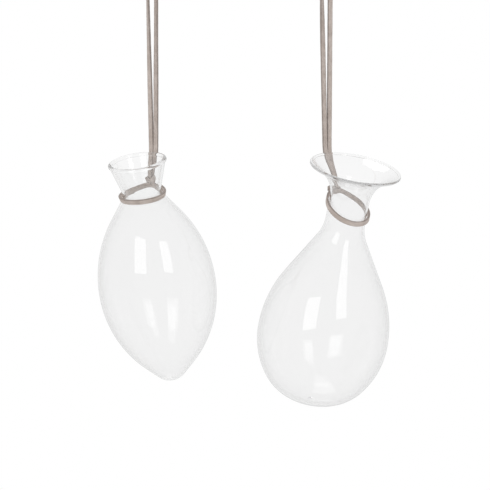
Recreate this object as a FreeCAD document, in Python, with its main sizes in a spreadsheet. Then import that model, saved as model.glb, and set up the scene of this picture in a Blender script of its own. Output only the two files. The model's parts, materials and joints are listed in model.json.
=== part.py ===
import FreeCAD, Part
import math
import os
import Sketcher

# A pair of blown-glass propagation vases, each hung by one flat suede lace.
# The almond vase hangs on the left and the teardrop vase on the right.
# Millimetres, +Z up, seen from the front along +Y.
# The origin is the centre of the hook that carries the almond vase.

doc = FreeCAD.newDocument("propagation_vases")

# Driving dimensions: lengths in millimetres, angles in degrees

LACE = {
    # Flat suede lace
    "lace_width": 3.0,
    "lace_thickness": 1.4,
    "lace_clearance": 0.3,
    "strand_gap": 0.1,
    # Hooks that carry the laces
    "hook_diameter": 4.0,
    "hook_spacing": 106.0,
    "loop_wrap_angle": 25.0,
    # Knots behind the necks
    "knot_width": 6.4,
    "knot_drop": 4.9,
    "knot_edge": 0.5,
    "knot_rounding": 0.6,
    "tail_length": 3.4,
}
ALMOND = {
    # Mouth and neck
    "rim_radius": 18.0,
    "bead_swell": 0.55,
    "rim_height": 19.6,
    "flare_straight": 14.7,
    "neck_height": 0.8,
    "neck_radius": 12.2,
    "neck_wall": 1.4,
    # Body
    "shoulder_bend": 4.8,
    "shoulder_share": 0.945,
    "belly_radius": 36.1,
    "belly_drop": 60.5,
    "body_wall": 1.0,
    "taper_share": 0.95,
    "end_drop": 61.5,
    "tip_radius": 8.0,
    "end_wall": 1.2,
    "nub_radius": 1.1,
    # Lace
    "hang": 107.0,
    "contact_azimuth": 62.7,
    "contact_angle": 16.0,
    "rim_clearance": 0.5,
    "loop_height": 0.3,
    "loop_tilt": 4.0,
    "loop_slack": 0.6,
    "knot_height": 6.6,
    "knot_reach": 3.2,
}
TEARDROP = {
    # Mouth and neck
    "rim_radius": 27.9,
    "bead_swell": 0.4,
    "rim_height": 33.0,
    "flare_straight": 5.15,
    "neck_height": 13.5,
    "neck_radius": 12.2,
    "neck_wall": 0.9,
    # Body
    "shoulder_bend": 25.0,
    "shoulder_share": 0.85,
    "belly_radius": 40.2,
    "belly_drop": 76.0,
    "body_wall": 1.1,
    "corner_share": 0.77,
    "side_angle": 36.4,
    "base_angle": 24.6,
    "end_drop": 43.4,
    "end_wall": 1.2,
    "nub_radius": 1.1,
    # Lace
    "hang": 108.0,
    "contact_azimuth": 130.3,
    "contact_angle": 30.0,
    "rim_clearance": 0.5,
    "loop_height": 8.3,
    "loop_tilt": 22.0,
    "loop_slack": 0.2,
    "knot_height": 17.9,
    "knot_reach": 3.0,
}
VASES = {"almond": ALMOND, "teardrop": TEARDROP}

# Straight spans that share the turn of an upper strand
TWIST_SPANS = 5

sizes = doc.addObject("Spreadsheet::Sheet", "sizes")
cell_names = []


def write_cell(name, value):
    """A named cell under the last one."""
    cell_names.append(name)
    row = len(cell_names)
    sizes.set(f"A{row}", name)
    sizes.set(f"B{row}", str(value))
    sizes.setAlias(f"B{row}", name)


for name, value in LACE.items():
    write_cell(name, value)
for kind, own_sizes in VASES.items():
    for name, value in own_sizes.items():
        write_cell(f"{kind}_{name}", value)
doc.recompute()


def size(name):
    """The sheet's value for a named size."""
    return float(sizes.get(name))


# Sketch helpers

ACROSS = FreeCAD.Vector(1, 0, 0)
DEEP = FreeCAD.Vector(0, 1, 0)
UP = FreeCAD.Vector(0, 0, 1)
START, END, CENTRE = range(1, 4)
H_AXIS, V_AXIS = range(-1, -3, -1)
ORIGIN_POINT = (H_AXIS, START)
SPIN_AXIS = ["V_Axis"]


def flat(point):
    """A point of the sketch plane as a vector."""
    return FreeCAD.Vector(point[0], point[1], 0)


def sketch_on(body, role, name):
    """A sketch on the body's own origin plane that has this role."""
    plane = next(f for f in body.Origin.OriginFeatures if f.Role == role)
    sketch = body.newObject("Sketcher::SketchObject", name)
    sketch.AttachmentSupport = [(plane, "")]
    sketch.MapMode = "FlatFace"
    return sketch


class Outline:
    """Lines and arcs of a sketch, drawn end to end and bound to the sheet."""

    def __init__(self, sketch):
        self.sketch = sketch
        self.ends = {}

    def line(self, start, end):
        piece = self.sketch.addGeometry(Part.LineSegment(flat(start), flat(end)), False)
        self.ends[piece] = (START, END)
        return piece

    def arc(self, centre, start, end, turn):
        """An arc from start to end, turn 1 anticlockwise and -1 clockwise."""
        first, last = (math.atan2(p[1] - centre[1], p[0] - centre[0]) for p in (start, end))
        if turn < 0:
            first, last = last, first
        circle = Part.Circle(flat(centre), UP, math.dist(centre, start))
        piece = self.sketch.addGeometry(Part.ArcOfCircle(circle, first, last), False)
        self.ends[piece] = (START, END) if turn > 0 else (END, START)
        return piece

    def hold(self, *terms):
        """A constraint without a size."""
        return self.sketch.addConstraint(Sketcher.Constraint(*terms))

    def set(self, *terms, number, cells):
        """A constraint whose size is an expression of the sheet's cells."""
        index = self.sketch.addConstraint(Sketcher.Constraint(*terms, number))
        self.sketch.setExpression(f"Constraints[{index}]", cells)

    def radius(self, piece, number, cells):
        self.set("Radius", piece, number=number, cells=cells)

    def across(self, piece, point, number, cells):
        """The point's distance to the right of the origin."""
        self.set("DistanceX", *ORIGIN_POINT, piece, point, number=number, cells=cells)

    def above(self, piece, point, number, cells):
        """The point's height over the origin."""
        self.set("DistanceY", *ORIGIN_POINT, piece, point, number=number, cells=cells)

    def below(self, piece, point, number, cells):
        """The point's depth under the origin."""
        self.set("DistanceY", piece, point, *ORIGIN_POINT, number=number, cells=cells)

    def first(self, piece):
        return self.ends[piece][0]

    def last(self, piece):
        return self.ends[piece][1]

    def smooth(self, *pieces):
        """Each piece runs into the next without a corner."""
        for one, other in zip(pieces, pieces[1:]):
            self.hold("Tangent", one, self.last(one), other, self.first(other))

    def corner(self, *pieces):
        """Each piece ends where the next starts."""
        for one, other in zip(pieces, pieces[1:]):
            self.hold("Coincident", one, self.last(one), other, self.first(other))

    def same_centre(self, one, other):
        self.hold("Coincident", one, CENTRE, other, CENTRE)


# Blown outlines
# A half section has its radius across and its height along the vessel's axis.


def slope_between(across, along, reach):
    """Slope from the axis of the straight wall that two round stretches share."""
    return math.asin(reach / math.hypot(across, along)) - math.atan2(across, along)


def polar(centre, radius, angle):
    return (centre[0] + radius * math.cos(angle), centre[1] + radius * math.sin(angle))


class Vessel:
    """The half section of one vessel, worked out from the sheet's sizes."""

    def __init__(self, kind):
        self.kind = kind
        s = self.size
        neck, belly, drop = s("neck_radius"), s("belly_radius"), s("belly_drop")
        self.bead_radius = s("neck_wall") / 2 + s("bead_swell")
        self.rim = (s("rim_radius") - self.bead_radius, s("rim_height"))
        half = s("neck_wall") / 2
        self.lip_drop = math.sqrt(self.bead_radius**2 - half**2)
        opening, rise = self.rim[0] - neck, self.rim[1] - s("neck_height")
        straight = s("flare_straight") + self.lip_drop
        bend_area = opening**2 + rise**2 - straight**2 - half**2
        self.flare_bend = bend_area / (2 * (opening + half))
        self.flare = (neck + self.flare_bend, s("neck_height"))
        self.shoulder = (neck + s("shoulder_bend"), 0.0)
        spread = belly - neck
        reach = (spread**2 + drop**2) / (2 * spread)
        self.upper_curve = s("shoulder_share") * reach - s("shoulder_bend")
        self.upper = (belly - self.upper_curve, -drop)
        self.flare_slope = slope_between(
            self.flare[0] - self.rim[0],
            self.rim[1] - self.flare[1],
            self.flare_bend + half,
        )
        away = self.bead_radius + s("rim_clearance") + size("lace_thickness") / 2
        self.contact = polar(self.rim, away, -math.radians(s("contact_angle")))
        self.knot_top = (neck + s("knot_reach"), s("knot_height"))
        rise = self.contact[1] - self.knot_top[1]
        self.strand_slope = math.atan2(self.contact[0] - self.knot_top[0], rise)
        self.strand_length = math.dist(self.contact, self.knot_top)
        write_cell(f"{kind}_strand_slope", math.degrees(self.strand_slope))
        write_cell(f"{kind}_strand_length", self.strand_length)

    def size(self, name):
        return size(f"{self.kind}_{name}")

    def cells(self, text):
        """An expression of the sheet, where @ stands for this vessel's own sizes."""
        return text.replace("@", f"sizes.{self.kind}_")

    def wall_line(self, wall, neck_wall):
        """The wall's points from the belly up to the lip, wall deep in the glass."""
        s = self.size
        slope = slope_between(
            self.shoulder[0] - self.upper[0],
            self.shoulder[1] - self.upper[1],
            s("shoulder_bend") + neck_wall + self.upper_curve - wall,
        )
        bend, flare_bend = s("shoulder_bend") + neck_wall, self.flare_bend + neck_wall
        side = -1 if neck_wall else 1
        half = side * s("neck_wall") / 2
        foot = polar(self.rim, half, -self.flare_slope)
        lip = polar(foot, -self.lip_drop, math.pi / 2 - self.flare_slope)
        return [
            polar(self.upper, self.upper_curve - wall, 0),
            polar(self.upper, self.upper_curve - wall, slope),
            polar(self.shoulder, bend, math.pi + slope),
            polar(self.shoulder, bend, math.pi),
            polar(self.flare, flare_bend, math.pi),
            polar(self.flare, flare_bend, math.pi - self.flare_slope),
            lip,
        ]


def draw_side(outline, vessel, wall, neck_wall):
    """One face of the wall from the belly to the lip: outside, or inside the wall."""
    belly, side, bend, neck, throat, flare, lip = vessel.wall_line(wall, neck_wall)
    pieces = [
        outline.arc(vessel.upper, belly, side, 1),
        outline.line(side, bend),
        outline.arc(vessel.shoulder, bend, neck, -1),
        outline.line(neck, throat),
        outline.arc(vessel.flare, throat, flare, -1),
        outline.line(flare, lip),
    ]
    outline.smooth(*pieces)
    return pieces


def almond_end(vessel, wall, end_wall):
    """Centres, radii and points of the almond's tapered end."""
    s = vessel.size
    belly, drop, tip = s("belly_radius"), s("end_drop"), s("tip_radius")
    along = drop - tip
    curve = (belly**2 + along**2 - tip**2) / (2 * (belly - tip)) * s("taper_share")
    side = (belly - curve, -s("belly_drop"))
    point = (0.0, -s("belly_drop") - along)
    across = curve - belly
    slope = slope_between(across, along, curve - wall - tip + end_wall)
    return {
        "radii": (tip - end_wall, curve - wall),
        "centres": (point, side),
        "points": [
            polar(point, tip - end_wall, -math.pi / 2),
            polar(point, tip - end_wall, -slope),
            polar(side, curve - wall, -slope),
            polar(side, curve - wall, 0),
        ],
    }


def teardrop_arcs(vessel):
    """Radii of the side, the corner and the base, from the angles that the first and last turn."""
    s = vessel.size
    belly, drop = s("belly_radius"), s("end_drop")
    corner = belly * s("corner_share")
    side_slope, base_slope = (math.tan(math.radians(s(f"{n}_angle") / 2)) for n in ("side", "base"))
    both = 1 - side_slope * base_slope
    across = ((belly - corner) - side_slope * (drop - corner)) / both
    under = ((drop - corner) - base_slope * (belly - corner)) / both
    curve = corner + under / math.sin(math.radians(s("side_angle")))
    base = corner + across / math.sin(math.radians(s("base_angle")))
    return curve, corner, base


def teardrop_end(vessel, wall, end_wall):
    """Centres, radii and points of the teardrop's round base."""
    s = vessel.size
    curve, corner, base = teardrop_arcs(vessel)
    side = (s("belly_radius") - curve, -s("belly_drop"))
    under = (0.0, base - s("belly_drop") - s("end_drop"))
    apart = math.dist(side, under)
    one, other = curve - corner, base - end_wall - corner + wall
    along = (apart**2 + one**2 - other**2) / (2 * apart)
    off = math.sqrt(one**2 - along**2)
    angle = math.atan2(under[1] - side[1], under[0] - side[0])
    middle = polar(polar(side, along, angle), off, angle - math.pi / 2)
    upper = math.atan2(middle[1] - side[1], middle[0] - side[0])
    lower = math.atan2(middle[1] - under[1], middle[0] - under[0])
    return {
        "radii": (base - end_wall, corner - wall, curve - wall),
        "centres": (under, middle, side),
        "points": [
            polar(under, base - end_wall, -math.pi / 2),
            polar(under, base - end_wall, lower),
            polar(side, curve - wall, upper),
            polar(side, curve - wall, 0),
        ],
    }


UPPER_CELLS = (
    "(@shoulder_share * ((@belly_radius - @neck_radius) ^ 2 + @belly_drop ^ 2)"
    " / (2 * (@belly_radius - @neck_radius)) - @shoulder_bend)"
)
TAPER_CELLS = (
    "(@taper_share * (@belly_radius ^ 2 + (@end_drop - @tip_radius) ^ 2 - @tip_radius ^ 2)"
    " / (2 * (@belly_radius - @tip_radius)))"
)


def draw_almond_end(outline, vessel, wall, end_wall, inside):
    """The tapered end of one face of the wall, from the axis up to the belly."""
    end = almond_end(vessel, wall, end_wall)
    point, side = end["centres"]
    low, taper, turn, belly = end["points"]
    tip = outline.arc(point, low, taper, 1)
    pieces = [tip, outline.line(taper, turn), outline.arc(side, turn, belly, 1)]
    outline.smooth(*pieces)
    less = vessel.cells(" - @body_wall") if inside else ""
    outline.radius(pieces[2], end["radii"][1], vessel.cells(TAPER_CELLS) + less)
    if not inside:
        outline.radius(tip, end["radii"][0], vessel.cells("@tip_radius"))
    return pieces


def draw_teardrop_end(outline, vessel, wall, end_wall, inside):
    """The round base of one face of the wall, from the axis up to the belly."""
    end = teardrop_end(vessel, wall, end_wall)
    points = end["points"]
    pieces = [
        outline.arc(centre, start, stop, 1)
        for centre, start, stop in zip(end["centres"], points, points[1:])
    ]
    outline.smooth(*pieces)
    less = " - @body_wall" if inside else ""
    cells = vessel.cells("@belly_radius * @corner_share" + less)
    outline.radius(pieces[1], end["radii"][1], cells)
    if not inside:
        for piece, name in ((pieces[0], "base_angle"), (pieces[2], "side_angle")):
            angle = math.radians(vessel.size(name))
            outline.set("Angle", piece, number=angle, cells=vessel.cells(f"@{name} * 1 deg"))
    return pieces


DRAW_END = {"almond": draw_almond_end, "teardrop": draw_teardrop_end}


def draw_outside(outline, vessel):
    """The outer face, fully held by the sheet. Returns its pieces."""
    s, c = vessel.size, vessel.cells
    low = DRAW_END[vessel.kind](outline, vessel, 0, 0, False)
    side = draw_side(outline, vessel, 0, 0)
    outline.smooth(low[-1], side[0])
    upper, _, shoulder, neck, _, straight = side
    depth = s("belly_drop") + s("end_drop")
    outline.hold("PointOnObject", low[0], CENTRE, V_AXIS)
    outline.hold("PointOnObject", low[0], outline.first(low[0]), V_AXIS)
    outline.below(low[0], outline.first(low[0]), depth, c("@belly_drop + @end_drop"))
    outline.radius(upper, vessel.upper_curve, c(UPPER_CELLS))
    outline.across(upper, outline.first(upper), s("belly_radius"), c("@belly_radius"))
    outline.below(upper, outline.first(upper), s("belly_drop"), c("@belly_drop"))
    outline.below(upper, CENTRE, s("belly_drop"), c("@belly_drop"))
    outline.radius(shoulder, s("shoulder_bend"), c("@shoulder_bend"))
    outline.hold("Vertical", neck)
    outline.across(neck, outline.first(neck), s("neck_radius"), c("@neck_radius"))
    outline.hold("PointOnObject", neck, outline.first(neck), H_AXIS)
    outline.above(neck, outline.last(neck), s("neck_height"), c("@neck_height"))
    outline.set("Distance", straight, number=s("flare_straight"), cells=c("@flare_straight"))
    return low + side


def draw_inside(outline, vessel, outside):
    """The inner face, held to the outer one by the walls. Returns its pieces."""
    s, c = vessel.size, vessel.cells
    low = DRAW_END[vessel.kind](outline, vessel, s("body_wall"), s("end_wall"), True)
    side = draw_side(outline, vessel, s("body_wall"), s("neck_wall"))
    outline.smooth(low[-1], side[0])
    upper, _, shoulder, neck, flare, _ = side
    outline.same_centre(low[0], outside[0])
    outline.hold("PointOnObject", low[0], outline.first(low[0]), V_AXIS)
    if vessel.kind == "teardrop":
        outline.hold("Vertical", low[-1], CENTRE, outside[2], CENTRE)
    for piece, partner in ((upper, outside[3]), (shoulder, outside[5]), (flare, outside[7])):
        outline.same_centre(piece, partner)
    outline.radius(upper, vessel.upper_curve - s("body_wall"), c(UPPER_CELLS + " - @body_wall"))
    outline.below(upper, outline.first(upper), s("belly_drop"), c("@belly_drop"))
    bend = s("shoulder_bend") + s("neck_wall")
    outline.radius(shoulder, bend, c("@shoulder_bend + @neck_wall"))
    outline.hold("Vertical", neck)
    return low + side


def blow_vessel(vessel):
    """The glass: one wall, thicker at the neck, with a fire-polished bead at the lip."""
    s, c = vessel.size, vessel.cells
    body = doc.addObject("PartDesign::Body", f"{vessel.kind}_glass")
    sketch = sketch_on(body, "XZ_Plane", f"{vessel.kind}_wall_section")
    outline = Outline(sketch)
    outside = draw_outside(outline, vessel)
    inside = draw_inside(outline, vessel, outside)
    lips = [vessel.wall_line(0, 0)[-1], vessel.wall_line(s("body_wall"), s("neck_wall"))[-1]]
    bead = outline.arc(vessel.rim, *lips, 1)
    outline.corner(outside[-1], bead)
    outline.hold("Coincident", bead, outline.last(bead), inside[-1], outline.last(inside[-1]))
    outline.across(bead, CENTRE, vessel.rim[0], c("@rim_radius - @neck_wall / 2 - @bead_swell"))
    outline.above(bead, CENTRE, vessel.rim[1], c("@rim_height"))
    outline.radius(bead, vessel.bead_radius, c("@neck_wall / 2 + @bead_swell"))
    for face in (outside, inside):
        terms = ("Distance", bead, CENTRE, face[-1])
        outline.set(*terms, number=s("neck_wall") / 2, cells=c("@neck_wall / 2"))
    bottom = -s("belly_drop") - s("end_drop")
    pole = outline.line((0, bottom + s("end_wall")), (0, bottom))
    outline.hold("Coincident", pole, START, inside[0], outline.first(inside[0]))
    outline.hold("Coincident", pole, END, outside[0], outline.first(outside[0]))
    outline.set("Distance", pole, number=s("end_wall"), cells=c("@end_wall"))
    spin = body.newObject("PartDesign::Revolution", f"{vessel.kind}_wall")
    spin.Profile = sketch
    spin.ReferenceAxis = (sketch, SPIN_AXIS)
    nub = body.newObject("PartDesign::AdditiveSphere", f"{vessel.kind}_sealing_nub")
    nub.setExpression("Radius", c("@nub_radius"))
    nub.setExpression("Placement.Base.z", c("@end_wall - @belly_drop - @end_drop"))
    body.Tip = nub
    return body


# How each vessel hangs
# It leans until its centre of mass is straight under the lace's contact with the lip.


def hook_point(kind):
    return FreeCAD.Vector(0 if kind == "almond" else size("hook_spacing"), 0, 0)


def local(point):
    """A point of the half section that passes through the lip's contact."""
    return FreeCAD.Vector(point[0], 0, point[1])


def hanging_place(vessel, glass):
    """Where the vessel hangs, from its contact with the lace and its centre of mass."""
    mass_centre = glass.Shape.Solids[0].CenterOfMass
    reach, rise = vessel.contact[0], vessel.contact[1] - mass_centre.z
    lean = math.degrees(math.atan2(reach, rise))
    turn = FreeCAD.Rotation(UP, vessel.size("contact_azimuth"))
    turn = turn.multiply(FreeCAD.Rotation(DEEP, -lean))
    contact = hook_point(vessel.kind) - UP * vessel.size("hang")
    return FreeCAD.Placement(contact - turn.multVec(local(vessel.contact)), turn)


# Flat lace


def bound(kind, name, **cells):
    """A Part primitive whose sizes are expressions of the sheet."""
    piece = doc.addObject(kind, name)
    for prop, expression in cells.items():
        piece.setExpression(prop, expression)
    return piece


def hanging_loop(kind):
    """The top of the lace, bent flat over the hook."""
    inner = size("hook_diameter") / 2
    outer = inner + size("lace_thickness")
    wrap = math.radians(size("loop_wrap_angle"))
    body = doc.addObject("PartDesign::Body", f"{kind}_hanging_loop")
    sketch = sketch_on(body, "XZ_Plane", f"{kind}_loop_section")
    outline = Outline(sketch)
    right = [polar((0, 0), radius, -wrap) for radius in (inner, outer)]
    left = [polar((0, 0), radius, math.pi + wrap) for radius in (outer, inner)]
    pieces = [
        outline.line(*right),
        outline.arc((0, 0), right[1], left[0], 1),
        outline.line(*left),
        outline.arc((0, 0), left[1], right[0], -1),
    ]
    outline.corner(*pieces, pieces[0])
    outline.radius(pieces[1], outer, "sizes.hook_diameter / 2 + sizes.lace_thickness")
    outline.radius(pieces[3], inner, "sizes.hook_diameter / 2")
    for arc in (pieces[1], pieces[3]):
        outline.hold("Coincident", arc, CENTRE, *ORIGIN_POINT)
    for line, angle, cells in (
        (pieces[0], -wrap, "-sizes.loop_wrap_angle * 1 deg"),
        (pieces[2], wrap, "sizes.loop_wrap_angle * 1 deg"),
    ):
        outline.hold("PointOnObject", *ORIGIN_POINT, line)
        outline.set("Angle", line, number=angle, cells=cells)
    pad = body.newObject("PartDesign::Pad", f"{kind}_loop_width")
    pad.Profile = sketch
    pad.Midplane = True
    pad.setExpression("Length", "sizes.lace_width")
    body.Tip = pad
    body.Placement = FreeCAD.Placement(hook_point(kind), FreeCAD.Rotation())
    return body


def upper_strand(vessel, side):
    """A strand from the hook to the lip, turning from flat on one to flat on the other."""
    kind = vessel.kind
    name = f"{kind}_upper_strand_{'right' if side > 0 else 'left'}"
    width, thickness = size("lace_width"), size("lace_thickness")
    hang = vessel.size("hang")
    azimuth = vessel.size("contact_azimuth")
    top_angle = math.copysign(90, azimuth - 90)
    along_lip = FreeCAD.Rotation(UP, azimuth - 90).multVec(ACROSS)
    top = ACROSS * (side * (size("hook_diameter") + thickness) / 2)
    foot = along_lip * (side * (width + size("strand_gap")) / 2) - UP * hang
    sections = []
    for step in range(TWIST_SPANS + 1):
        share = step / TWIST_SPANS
        section = bound(
            "Part::Plane",
            f"{name}_section_{step}",
            Length="sizes.lace_width",
            Width="sizes.lace_thickness",
        )
        turn = FreeCAD.Rotation(UP, top_angle + (azimuth - 90 - top_angle) * share)
        corner = turn.multVec(FreeCAD.Vector(-width / 2, -thickness / 2, 0))
        section.Placement = FreeCAD.Placement(top + (foot - top) * share + corner, turn)
        sections.append(section)
    strand = doc.addObject("Part::Loft", f"{name}_twist")
    strand.Sections = sections
    strand.Solid = True
    strand.Ruled = True
    hook = bound(
        "Part::Cylinder",
        f"{name}_hook_room",
        Radius="sizes.hook_diameter / 2 + sizes.lace_thickness + sizes.lace_clearance",
        Height="sizes.lace_width * 2",
    )
    hook.Placement = FreeCAD.Placement(DEEP * width, FreeCAD.Rotation(ACROSS, 90))
    lip = bound(
        "Part::Cylinder",
        f"{name}_lip_room",
        Radius="sizes.lace_thickness / 2 + sizes.lace_clearance",
        Height="sizes.lace_width * 4",
    )
    lip_turn = FreeCAD.Rotation(UP, along_lip)
    lip.Placement = FreeCAD.Placement(-along_lip * (width * 2) - UP * hang, lip_turn)
    room = doc.addObject("Part::Fuse", f"{name}_end_room")
    room.Base, room.Tool = hook, lip
    cut = doc.addObject("Part::Cut", name)
    cut.Base, cut.Tool = strand, room
    cut.Placement = FreeCAD.Placement(hook_point(kind), FreeCAD.Rotation())
    return cut


CONTACT_REACH = "(@neck_wall / 2 + @bead_swell + @rim_clearance + sizes.lace_thickness / 2)"
RIM_CELLS = "@rim_radius - @neck_wall / 2 - @bead_swell"


def lower_strand(vessel, side, place):
    """A strand from the knot to the lip, round at the top where it bends over the lip."""
    name = f"{vessel.kind}_lower_strand_{'right' if side > 0 else 'left'}"
    half = size("lace_thickness") / 2
    slope = vessel.strand_slope
    out, back = -slope, math.pi - slope
    foot, top = vessel.knot_top, vessel.contact
    body = doc.addObject("PartDesign::Body", name)
    sketch = sketch_on(body, "XZ_Plane", f"{name}_section")
    offset = "(sizes.lace_width + sizes.strand_gap) / 2"
    sketch.setExpression("AttachmentOffset.Base.z", offset if side > 0 else f"-{offset}")
    outline = Outline(sketch)
    pieces = [
        outline.line(polar(foot, half, out), polar(top, half, out)),
        outline.arc(top, polar(top, half, out), polar(top, half, back), 1),
        outline.line(polar(top, half, back), polar(foot, half, back)),
        outline.line(polar(foot, half, back), polar(foot, half, out)),
    ]
    outer, bend, inner, end = pieces
    outline.smooth(outer, bend, inner)
    outline.corner(inner, end, outer)
    outline.hold("Perpendicular", end, outer)
    outline.hold("Perpendicular", end, inner)
    outline.radius(bend, half, "sizes.lace_thickness / 2")
    across = vessel.cells(f"{RIM_CELLS} + {CONTACT_REACH} * cos(@contact_angle * 1 deg)")
    above = vessel.cells(f"@rim_height - {CONTACT_REACH} * sin(@contact_angle * 1 deg)")
    outline.across(bend, CENTRE, top[0], across)
    outline.above(bend, CENTRE, top[1], above)
    slope_cells = vessel.cells("(90 - @strand_slope) * 1 deg")
    outline.set("Angle", outer, number=math.pi / 2 - slope, cells=slope_cells)
    length = vessel.cells("@strand_length")
    outline.set("Distance", outer, number=vessel.strand_length, cells=length)
    pad = body.newObject("PartDesign::Pad", f"{name}_width")
    pad.Profile = sketch
    pad.Midplane = True
    pad.setExpression("Length", "sizes.lace_width")
    body.Tip = pad
    body.Placement = place
    return body


def neck_loop(vessel, place):
    """The lace round the neck: a ring that a tilted slice, one lace wide, leaves."""
    name = f"{vessel.kind}_neck_loop"
    inner_cells = "@neck_radius + sizes.lace_clearance + @loop_slack"
    ring = doc.addObject("Part::Cut", f"{name}_ring")
    cylinders = [
        bound(
            "Part::Cylinder",
            f"{name}_{face}",
            Radius=vessel.cells(cells),
            Height=vessel.cells("@neck_radius * 2"),
        )
        for face, cells in (
            ("outside", inner_cells + " + sizes.lace_thickness"),
            ("inside", inner_cells),
        )
    ]
    rise = vessel.size("loop_height")
    reach = vessel.size("neck_radius")
    for cylinder in cylinders:
        cylinder.Placement = FreeCAD.Placement(UP * (rise - reach), FreeCAD.Rotation())
    ring.Base, ring.Tool = cylinders
    slice_cells = vessel.cells("@neck_radius * 4")
    slab = bound(
        "Part::Box",
        f"{name}_slice",
        Length=slice_cells,
        Width=slice_cells,
        Height="sizes.lace_width",
    )
    tilt = FreeCAD.Rotation(DEEP, -vessel.size("loop_tilt"))
    corner = FreeCAD.Vector(-reach * 2, -reach * 2, -size("lace_width") / 2)
    slab.Placement = FreeCAD.Placement(UP * rise + tilt.multVec(corner), tilt)
    loop = doc.addObject("Part::Common", name)
    loop.Base, loop.Tool = ring, slab
    loop.Placement = place
    return loop


def knot(vessel, place, loop):
    """The knot that closes the neck loop, with one trimmed end at its side."""
    kind, s = vessel.kind, vessel.size
    name = f"{kind}_knot"
    inner = s("neck_radius") + size("lace_clearance") + s("loop_slack")
    half = size("lace_thickness") / 2 + size("knot_edge")
    low = s("knot_height") - size("knot_drop")
    out, back = -vessel.strand_slope, math.pi - vessel.strand_slope
    outer_top, inner_top = (polar(vessel.knot_top, half, angle) for angle in (out, back))
    body = doc.addObject("PartDesign::Body", f"{name}_lump")
    sketch = sketch_on(body, "XZ_Plane", f"{name}_section")
    outline = Outline(sketch)
    corners = [(inner, low), (outer_top[0], low), outer_top, inner_top]
    pieces = [outline.line(*pair) for pair in zip(corners, corners[1:] + corners[:1])]
    bottom, outside, top, _ = pieces
    outline.corner(*pieces, pieces[0])
    outline.hold("Horizontal", bottom)
    outline.hold("Vertical", outside)
    inner_cells = vessel.cells("@neck_radius + sizes.lace_clearance + @loop_slack")
    outline.across(bottom, START, inner, inner_cells)
    low_cells = vessel.cells("@knot_height - sizes.knot_drop")
    outline.above(bottom, START, low, low_cells)
    half_cells = "(sizes.lace_thickness / 2 + sizes.knot_edge)"
    slope_cells = "@strand_slope * 1 deg"
    outline.across(
        top,
        START,
        outer_top[0],
        vessel.cells(f"@neck_radius + @knot_reach + {half_cells} * cos({slope_cells})"),
    )
    outline.above(
        top,
        START,
        outer_top[1],
        vessel.cells(f"@knot_height - {half_cells} * sin({slope_cells})"),
    )
    outline.set("Distance", top, number=half * 2, cells=f"{half_cells} * 2")
    turned = vessel.cells(f"180 deg - {slope_cells}")
    outline.set("Angle", top, number=math.pi - vessel.strand_slope, cells=turned)
    pad = body.newObject("PartDesign::Pad", f"{name}_pad")
    pad.Profile = sketch
    pad.Midplane = True
    pad.setExpression("Length", "sizes.knot_width")
    doc.recompute()
    rounded = []
    for index, edge in enumerate(pad.Shape.Edges, 1):
        if max(v.Z for v in edge.Vertexes) < s("knot_height") - half:
            rounded.append(f"Edge{index}")
    fillet = body.newObject("PartDesign::Fillet", f"{name}_rounding")
    fillet.Base = (pad, rounded)
    fillet.setExpression("Radius", "sizes.knot_rounding")
    body.Tip = fillet
    body.Placement = place
    tail = bound(
        "Part::Box",
        f"{name}_tail",
        Length="sizes.lace_thickness",
        Width="sizes.tail_length + sizes.knot_width / 2",
        Height="sizes.lace_width",
    )
    tail_out = outer_top[0] - size("lace_thickness") - size("knot_edge")
    tail_low = low + (size("knot_drop") - size("lace_width")) / 2
    tail_spot = FreeCAD.Vector(tail_out, 0, tail_low)
    tail.Placement = place.multiply(FreeCAD.Placement(tail_spot, FreeCAD.Rotation()))
    tied = doc.addObject("Part::Fuse", f"{name}_tied")
    tied.Base, tied.Tool = body, tail
    cut = doc.addObject("Part::Cut", name)
    cut.Base, cut.Tool = tied, loop
    return cut


# Assembly

NODES = {}


def keep(name, piece):
    piece.Label = name
    NODES[name] = piece


def hang_vase(kind):
    """One vase with its lace. Returns the vessel's section and place."""
    vessel = Vessel(kind)
    glass = blow_vessel(vessel)
    doc.recompute()
    place = hanging_place(vessel, glass)
    glass.Placement = place
    keep(f"{kind}_glass", glass)
    keep(f"{kind}_hanging_loop", hanging_loop(kind))
    for side, word in ((-1, "left"), (1, "right")):
        keep(f"{kind}_upper_strand_{word}", upper_strand(vessel, side))
        keep(f"{kind}_lower_strand_{word}", lower_strand(vessel, side, place))
    loop = neck_loop(vessel, place)
    keep(f"{kind}_neck_loop", loop)
    keep(f"{kind}_knot", knot(vessel, place, loop))
    return vessel, place


HUNG = {kind: hang_vase(kind) for kind in VASES}
doc.recompute()

# Checks and files

for piece in doc.Objects:
    if {"Invalid", "Error"} & set(piece.State):
        raise RuntimeError(f"{piece.Name} failed: {piece.State}")
for name, piece in NODES.items():
    shape = piece.Shape
    if shape.isNull() or not shape.isValid() or len(shape.Solids) != 1:
        raise RuntimeError(f"{name} isn't one sound solid")

os.makedirs("parts", exist_ok=True)
for name, piece in NODES.items():
    piece.Shape.exportStep(f"parts/{name}.step")
    print(f"{name}: {piece.Shape.Volume:.1f} mm3")
section = size("lace_width") * size("lace_thickness")
half_lace = size("lace_thickness") / 2
for kind, (vessel, place) in HUNG.items():
    over_hook = size("hook_diameter") / 2 + half_lace
    round_neck = vessel.size("neck_radius") + size("lace_clearance") + vessel.size("loop_slack")
    wrap = math.pi + 2 * math.radians(size("loop_wrap_angle"))
    runs = {
        "hanging_loop": (over_hook, over_hook * wrap),
        "neck_loop": (round_neck + half_lace, 2 * math.pi * (round_neck + half_lace)),
        "lower_strand_left": (half_lace, vessel.strand_length + math.pi * half_lace / 4),
    }
    for name, (bend, length) in runs.items():
        volume = NODES[f"{kind}_{name}"].Shape.Volume
        print(f"{kind}_{name}: bend {bend:.2f} mm, volume {volume / section / length:.3f} of its run")
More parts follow.
